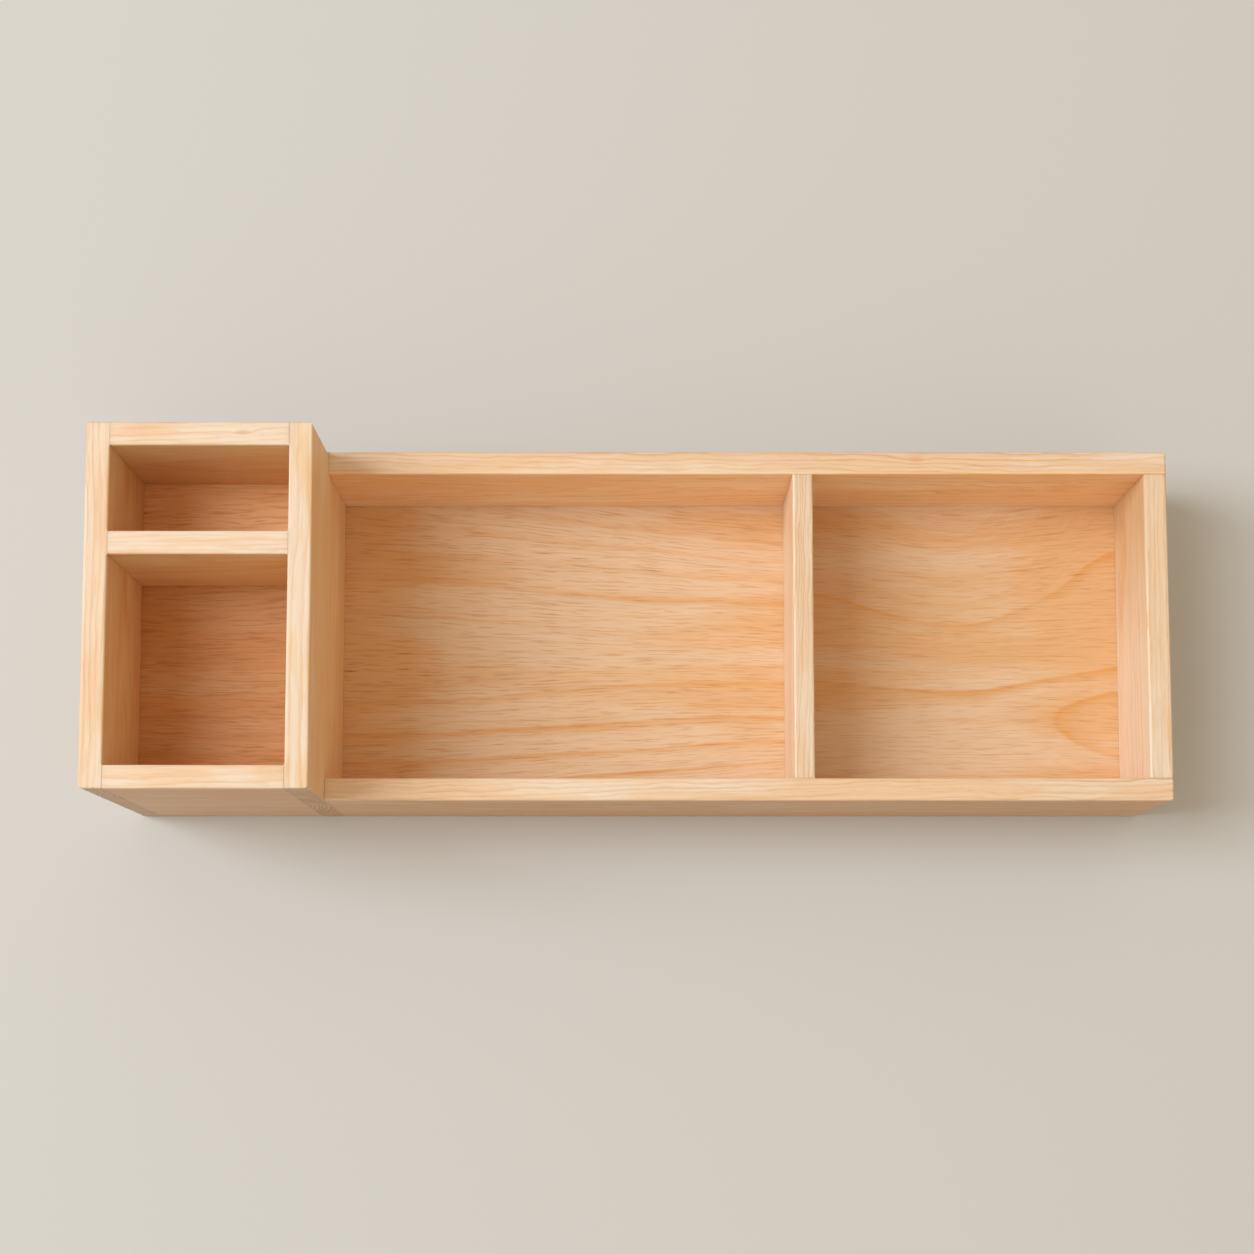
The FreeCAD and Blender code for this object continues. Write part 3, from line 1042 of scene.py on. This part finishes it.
def timber_material(name, timber, middle, colours, figure=None, seam=0.0, local=None):
    """A material for one board, with its grain along one axis and its pith at one side."""
    grain, thick = timber["grain"], timber["thick"]
    pith, tilt = timber["pith"], timber["tilt"]
    material = bpy.data.materials.new(name)
    material.use_nodes = True
    tree = material.node_tree
    shader = tree.nodes["Principled BSDF"]
    coordinates = tree.nodes.new("ShaderNodeTexCoord").outputs
    from_middle = vector_calc(tree, "SUBTRACT", coordinates["Object"], middle)
    place = vector_calc(tree, "SCALE", from_middle, scale=1 / MM)
    parts = split(tree, place)
    wide = (set(AXES) - {grain, thick}).pop()
    along = parts[grain]
    facing = calc(tree, "ABSOLUTE", split(tree, coordinates["Normal"])[grain])
    settings = {
        "Place": join(tree, along, parts[wide], parts[thick]),
        "Shift": tuple(timber["seed"] * step for step in SEED_SHIFT),
        "Pith across": calc(tree, "MULTIPLY_ADD", along, tilt[0], pith[0]),
        "Pith depth": calc(tree, "MULTIPLY_ADD", along, tilt[1], pith[1]),
        "Ring": timber["ring"],
        "Warmth": timber["warmth"],
        "End grain": remap(tree, facing, *END_LIMITS),
        "Pale": colours["pale"],
        "Line": colours["line"],
        "Warm": colours["warm"],
    }
    if local:
        caddy_place = [calc(tree, "ADD", part, centre / MM) for part, centre in zip(parts, middle)]
        settings |= local(tree, *caddy_place)
    # painted warm shade on the faces inside the tower's wells
    if name.startswith("tower"):
        settings["Inside"] = attribute(tree, INSIDE_NAME)
    wood = tree.nodes.new("ShaderNodeGroup")
    wood.node_tree = TIMBER
    for key, value in (BOARD_FIGURE | (figure or {}) | settings).items():
        plug(tree, wood.inputs[key], value)

    seam_strength = product(tree, joint_line(tree, place, coordinates["Normal"]), seam)
    colour = blend(tree, seam_strength, wood.outputs["Colour"], SEAM_COLOUR)
    bump = tree.nodes.new("ShaderNodeBump")
    bump.inputs["Strength"].default_value = RELIEF_STRENGTH
    bump.inputs["Distance"].default_value = RELIEF_DEPTH
    plug(tree, bump.inputs["Height"], wood.outputs["Height"])
    plug(tree, shader.inputs["Base Color"], colour)
    plug(tree, shader.inputs["Roughness"], wood.outputs["Roughness"])
    plug(tree, shader.inputs["Normal"], bump.outputs["Normal"])
    shader.inputs["Specular IOR Level"].default_value = SPECULAR
    return material


def dress_boards():
    for name, timber in BOARDS.items():
        board = make_board(name)
        low, high = BOXES[name]
        middle = tuple((low + high) / 2 * MM)
        colours = COLOURS.get(name, BOARD_COLOURS)
        seam = FLOOR_SEAM if name in FLOORS else 1.0
        looks = dict(figure=FIGURES.get(name), seam=seam, local=LOCAL_FIGURES.get(name))
        material = timber_material(name + "_timber", timber, middle, colours, **looks)
        board.data.materials.clear()
        board.data.materials.append(material)


def dress_dowels():
    for node, piece in frame["nodes"].items():
        if node in BOARDS:
            continue
        low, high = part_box(node)
        middle = tuple((low + high) / 2)
        axes = ("Y", "X") if node.startswith("tray") else ("X", "Y")
        timber = stock(*axes, **DOWEL_GROWTH)
        material = timber_material(node + "_timber", timber, middle, DOWEL_COLOURS)
        for slot in piece.material_slots:
            slot.material = material


# Stage

def seen(tree):
    """1 where a surface is looked at, straight or in a reflection, and 0 where it only sends light on."""
    path = tree.nodes.new("ShaderNodeLightPath").outputs
    straight = calc(tree, "MAXIMUM", path["Is Camera Ray"], path["Is Transmission Ray"])
    return calc(tree, "MAXIMUM", straight, path["Is Glossy Ray"])


def make_floor():
    """A pale floor that sends warm, dim light back to the caddy and fades into the backdrop far off."""
    half = FLOOR_SIZE / 2
    corners = [(-half, -half, 0), (half, -half, 0), (half, half, 0), (-half, half, 0)]
    mesh = bpy.data.meshes.new("floor")
    mesh.from_pydata(corners, [], [(0, 1, 2, 3)])
    floor = bpy.data.objects.new("floor", mesh)
    bpy.context.scene.collection.objects.link(floor)
    material = bpy.data.materials.new("floor")
    material.use_nodes = True
    tree = material.node_tree
    shader = tree.nodes["Principled BSDF"]
    looked_at = seen(tree)
    plug(tree, shader.inputs["Base Color"], blend(tree, looked_at, BOUNCE_COLOUR, GROUND_COLOUR))
    shader.inputs["Roughness"].default_value = FLOOR_ROUGHNESS
    backdrop = tree.nodes.new("ShaderNodeEmission")
    backdrop.inputs["Color"].default_value = BACKDROP_COLOUR
    distance = vector_calc(tree, "LENGTH", tree.nodes.new("ShaderNodeTexCoord").outputs["Object"])
    fade = tree.nodes.new("ShaderNodeMixShader")
    plug(tree, fade.inputs[0], product(tree, looked_at, remap(tree, distance, *FLOOR_FADE)))
    plug(tree, fade.inputs[1], shader.outputs[0])
    plug(tree, fade.inputs[2], backdrop.outputs[0])
    plug(tree, tree.nodes["Material Output"].inputs["Surface"], fade.outputs[0])
    mesh.materials.append(material)


def make_key_lamp():
    data = bpy.data.lights.new("key", "AREA")
    data.shape = "ELLIPSE"
    data.size = KEY_WIDTH
    data.size_y = KEY_HEIGHT
    data.energy = KEY_POWER
    data.color = KEY_COLOUR
    lamp = bpy.data.objects.new("key", data)
    lamp.location = KEY_PLACE
    lamp.rotation_euler = (-Vector(KEY_PLACE)).to_track_quat("-Z", "Y").to_euler()
    bpy.context.scene.collection.objects.link(lamp)


def make_world():
    world = bpy.data.worlds.new("studio")
    world.use_nodes = True
    tree = world.node_tree
    background = tree.nodes["Background"]
    plug(tree, background.inputs["Color"], blend(tree, seen(tree), SKY_COLOUR, BACKDROP_COLOUR))
    background.inputs["Strength"].default_value = 1.0
    bpy.context.scene.world = world


def make_camera():
    data = bpy.data.cameras.new("camera")
    data.lens = CAMERA_LENS
    data.sensor_width = SENSOR_WIDTH
    data.shift_y = CAMERA_SHIFT
    camera = bpy.data.objects.new("camera", data)
    camera.location = CAMERA_PLACE
    camera.rotation_euler = (math.radians(CAMERA_TILT), 0.0, 0.0)
    bpy.context.scene.collection.objects.link(camera)
    bpy.context.scene.camera = camera


dress_boards()
dress_dowels()
make_floor()
make_key_lamp()
make_world()
make_camera()
bpy.context.scene.view_settings.view_transform = "Standard"
